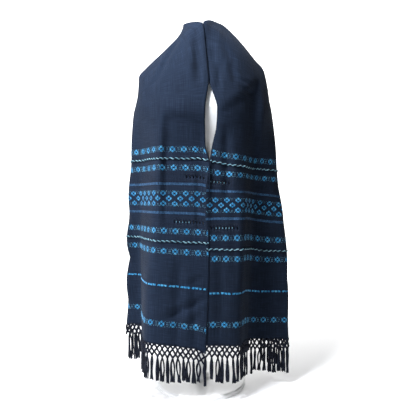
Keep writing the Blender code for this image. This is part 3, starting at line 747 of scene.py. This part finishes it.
def woven_runs(side):
    """The runs of every yarn in the bands of one side."""
    yarns = dict(bright=[], thin=[], stripe=[], stitch=[], pale=[])
    for band in BANDS:
        z, kind = band[side], band["kind"]
        slip = band.get("slip", {}).get(side, 0.0)
        if kind == "motif":
            yarns["bright"] += charted(CHART, side, z, MOTIF_TALL, "#", slip)
            yarns["thin"] += charted(CHART, side, z, MOTIF_TALL, "+", slip)
        elif kind == "wide":  # three rows, the middle one half a repeat along, thin floats only outermost
            tall = MOTIF_TALL * 0.9
            for step, shift in ((WIDE_STEP, slip), (0.0, slip + REPEAT / 2), (-WIDE_STEP, slip)):
                yarns["bright"] += charted(CHART, side, z + step, tall, "#", shift)
            for step in (WIDE_STEP, -WIDE_STEP):
                yarns["thin"] += [r for r in charted(CHART, side, z + step, tall, "+", slip)
                                  if (r[2] - z - step) * step > 0]
        elif kind == "dashes":
            yarns["bright"] += charted(LINE_CHART, side, z, DASH_TALL, "#")
        elif kind == "stripe":  # five picks of the muted yarn side by side, a dark one above and below
            for pick in range(-2, 3):
                yarns["stripe"] += dashed(z + pick * 0.0014, 0.0048, 0.0046, 0.00078)
            for off in (-0.0058, 0.0058):
                yarns["stitch"] += dashed(z + off, 0.0044, 0.0046, 0.0009)
        elif kind == "openwork":  # three staggered rows of dark stitches above it and three below
            for k, off in enumerate((-0.0125, -0.0090, -0.0058, 0.0058, 0.0090, 0.0125)):
                yarns["stitch"] += dashed(z + off, 0.0028, 0.0044, 0.0009, 0.0012 + 0.0022 * (k % 2), 0.005)
            low, high = band["open"][side]
            closed = [dashed(z + off, 0.0020, 0.0045, 0.0011, 0.0020, 0.005) for off in (-0.0016, 0.0016)]
            yarns["stitch"] += [r for pair in zip(*closed) for r in pair
                                if not low - 0.003 < r[0] < high + 0.003]
            # pale specks over the holes: painted light for the lit white form seen through them
            first, last = band["pale"][side]
            yarns["pale"] += [(u + 0.0018, u + 0.0040, z, 0.0022) for u in columns[::2] if first < u < last]
    return yarns


pieces = []
for side in ("left", "right"):
    yarns = woven_runs(side)
    for name, yarn, paint, high in (
            ("brocade", "bright", AZURE, 0.0009), ("brocade_thin", "thin", PALE_BLUE, 0.0006),
            ("stripes", "stripe", FADED, 0.0004), ("hemstitch", "stitch", INK, 0.0005),
            # the pale specks are painted light for the lit form seen through the holes
            ("painted_light_specks", "pale", AQUA, 0.0006)):
        pieces.append(floats(f"{name}_{side}", side, yarns[yarn], paint, high))

# ---- twisted cords --------------------------------------------------------------------------------
for side in ("left", "right"):
    s = np.linspace(0.002, WEB - 0.002, 420)
    wander = 0.0006 * np.sin(s * 75) + 0.0004 * np.sin(s * 31 + 1)
    for start, name, paint in ((0, "aqua_ply", AQUA), (math.pi, "dark_ply", INK)):
        a = 2 * math.pi * s / TWIST + start + 0.9 * np.sin(s * 40) + 0.5 * np.sin(s * 97)
        radius = PLY * (0.9 + 0.15 * np.sin(s * 210 + start))
        off, lift = wander + PLY_OFF * np.sin(a), 0.0013 + 0.0010 * np.cos(a)
        runs = [(on_cloth(side, s, band[side] + off, lift), radius)
                for band in BANDS if band["kind"] == "cord"]
        points, faces = tubes(runs, 5)
        pieces.append(piece(f"{name}_{side}", points, faces, paint))

# ---- fringe ---------------------------------------------------------------------------------------
rng = np.random.default_rng(11)


def hem_point(side, u, drop, out=0.0):
    """A point below the hem at web width u."""
    u = np.clip(np.asarray(u, float), 0.001, WEB - 0.001)
    at = np.full(u.shape, grids[side]["rows"][0])
    p = on_cloth(side, u, at, out - CLOTH_THICK / 2 + 0 * u)
    p[..., 2] -= drop
    return p


def strands_of(side, u, drop, long):
    """One tassel of loose strands from the knot at u: some hang together, some part in two."""
    split = rng.random() < 0.4
    lean = rng.normal(0, 0.0016)
    curl = rng.uniform(0, 2 * np.pi)
    t = np.linspace(0, 1, 13)
    strands = []
    for s in range(TASSEL_STRANDS):
        share = (s - (TASSEL_STRANDS - 1) / 2) / (TASSEL_STRANDS - 1)
        spread = share * (0.0056 + 0.0034 * t ** 2)
        if split:
            apart = np.sin(np.pi * np.clip(t * 1.25, 0, 1)) ** 1.2
            spread = spread + np.sign(share + 0.01) * 0.0032 * apart
        wave = 0.0014 * np.sin(5.5 * t + curl + 0.5 * s) * t ** 0.7 + lean * t
        deep = 0.0016 * np.cos(2.3 * s + 3.1 * t + curl) * (0.4 + 0.6 * t)
        end = long * (1 - 0.05 * rng.random())
        line = hem_point(side, u + wave + spread * ease(t, -0.1, 0.25), drop + end * t, deep)
        strands.append((line, STRAND * (1 - 0.25 * t) * (0.9 + 0.2 * rng.random())))
    return strands


def knotted_fringe(side):
    """Net of knotted cords under the hem, then the tassels of loose strands."""
    count = int(WEB / NET_PITCH)
    margin = (WEB - (count - 1) * NET_PITCH) / 2
    cords, knots, strands = [], [], []
    sway = rng.normal(0, 0.0012, (NET_ROWS + 1, count + 1))
    fall = rng.normal(0, 0.0010, (NET_ROWS + 1, count + 1))

    def knot_at(row, k):
        u = margin + (k - 0.5 * (row % 2)) * NET_PITCH
        if row == 0:
            return u, 0.0
        return u + sway[row, k], NET_STEP * row + fall[row, k]

    for row in range(NET_ROWS):
        for k in range(count + row % 2):
            for other in ((k, k + 1) if row % 2 == 0 else (k - 1, k)):
                if not 0 <= other < count + (row + 1) % 2:
                    continue
                (u0, d0), (u1, d1) = knot_at(row, k), knot_at(row + 1, other)
                t = np.linspace(0, 1, 6)
                bow = 0.0010 * np.sin(np.pi * t) * (1 if (k + other) % 2 else -1)
                tucked = 0.001 if row == 0 else 0  # the first cords start inside the hem
                line = hem_point(side, u0 + (u1 - u0) * t, d0 + (d1 - d0) * t - tucked, bow)
                cords.append((line, NET_CORD * (1 - 0.12 * np.sin(np.pi * t))))
    for row in range(1, NET_ROWS + 1):
        for k in range(count + row % 2):
            u, d = knot_at(row, k)
            t = np.linspace(-1, 1, len(KNOT))
            knots.append((hem_point(side, u + 0 * t, d + 0.0026 * t, 0.0003 + 0 * t), np.array(KNOT)))
    for k in range(count + NET_ROWS % 2):
        u, d = knot_at(NET_ROWS, k)
        long = FRINGE_LENGTH - d + rng.normal(0, 0.0028) - CORNER_DROOP * bell(u, 0.03)
        long += 0.010 * ease(u, 0.30, 0.38) * (side == "left")
        ends = hem_point(side, np.array([u - 0.004, u + 0.004]), 0.0)
        if k % 2 and abs(ends[1, 0] - ends[0, 0]) < 0.0036:
            continue  # thinned out where the hem runs front to back
        strands += strands_of(side, u, d, long)
    made = []
    for name, runs, sides in ((f"fringe_net_{side}", cords + knots, 6), (f"tassels_{side}", strands, 5)):
        points, faces = tubes(runs, sides)
        made.append(piece(name, points, faces, INK))
    return made


fringes = {side: knotted_fringe(side) for side in ("left", "right")}

# ---- what rides, what it replaces, what it is -----------------------------------------------------
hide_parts("front_left", "front_right", "back")
for side in ("left", "right"):
    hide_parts(f"fringe_{side}")
pieces += fringes["left"] + fringes["right"]
for p in [cloth] + pieces:
    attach(p, "root")

JERSEY, ENAMEL = white_jersey(), white_enamel()
for node, paint in dict(dress_form=JERSEY, neck_cap=ENAMEL, stand_pole=ENAMEL, stand_base=ENAMEL).items():
    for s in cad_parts[node].material_slots:
        s.material = paint

# ---- floor, light and camera ----------------------------------------------------------------------
# the paper runs flat under the form, then up behind it: (y, z)
FLOOR_END, BEND, WALL_TOP, PAPER_SIDE = 1.6, 0.8, 3.6, 4.5
sweep = [(-4.0, 0.0), (FLOOR_END, 0.0)]
sweep += [(FLOOR_END + BEND * math.sin(a), BEND - BEND * math.cos(a))
          for a in np.linspace(0.1, math.pi / 2, 14)]
sweep += [(FLOOR_END + BEND, WALL_TOP)]
cove = piece("paper_sweep", [(x, y, z) for y, z in sweep for x in (-PAPER_SIDE, PAPER_SIDE)],
             [(2 * i, 2 * i + 1, 2 * i + 3, 2 * i + 2) for i in range(len(sweep) - 1)],
             pale_paper())


def soft_light(name, place, aim, size, watts, tint):
    """A round soft box."""
    lamp = bpy.data.lights.new(name, "AREA")
    lamp.shape, lamp.size, lamp.energy = "DISK", size, watts
    lamp.color = colour(tint)[:3]
    obj = bpy.data.objects.new(name, lamp)
    obj.location = place
    obj.rotation_euler = (Vector(aim) - Vector(place)).to_track_quat("-Z", "Y").to_euler()
    bpy.context.scene.collection.objects.link(obj)


soft_light("skylight", (-0.50, -0.66, 1.84), (-0.02, -0.08, 0.74), 0.40, 50.5, "#f6f9ff")
soft_light("left_window", (-0.86, -0.56, 0.35), (-0.1, -0.05, 0.28), 0.4, 6.4, "#f4f7ff")
soft_light("paper_light", (0.0, 1.0, 2.4), (0.0, 2.4, 1.7), 1.6, 34.0, "#ffffff")

world = bpy.data.worlds.new("studio")
world.use_nodes = True
background = world.node_tree.nodes["Background"]
background.inputs["Color"].default_value = colour("#ffffff")
background.inputs["Strength"].default_value = 0.08
bpy.context.scene.world = world
bpy.context.scene.view_settings.view_transform = "Standard"

lens = bpy.data.cameras.new("camera")
lens.lens, lens.sensor_width = 36.0, 36.0
lens.shift_y = -1 / 52  # the hem's level is nearer to the middle of the frame than the eye's
camera = bpy.data.objects.new("camera", lens)
camera.location, camera.rotation_euler = (0.0207, -1.286, 0.56), (math.pi / 2, 0, 0)
bpy.context.scene.collection.objects.link(camera)
bpy.context.scene.camera = camera
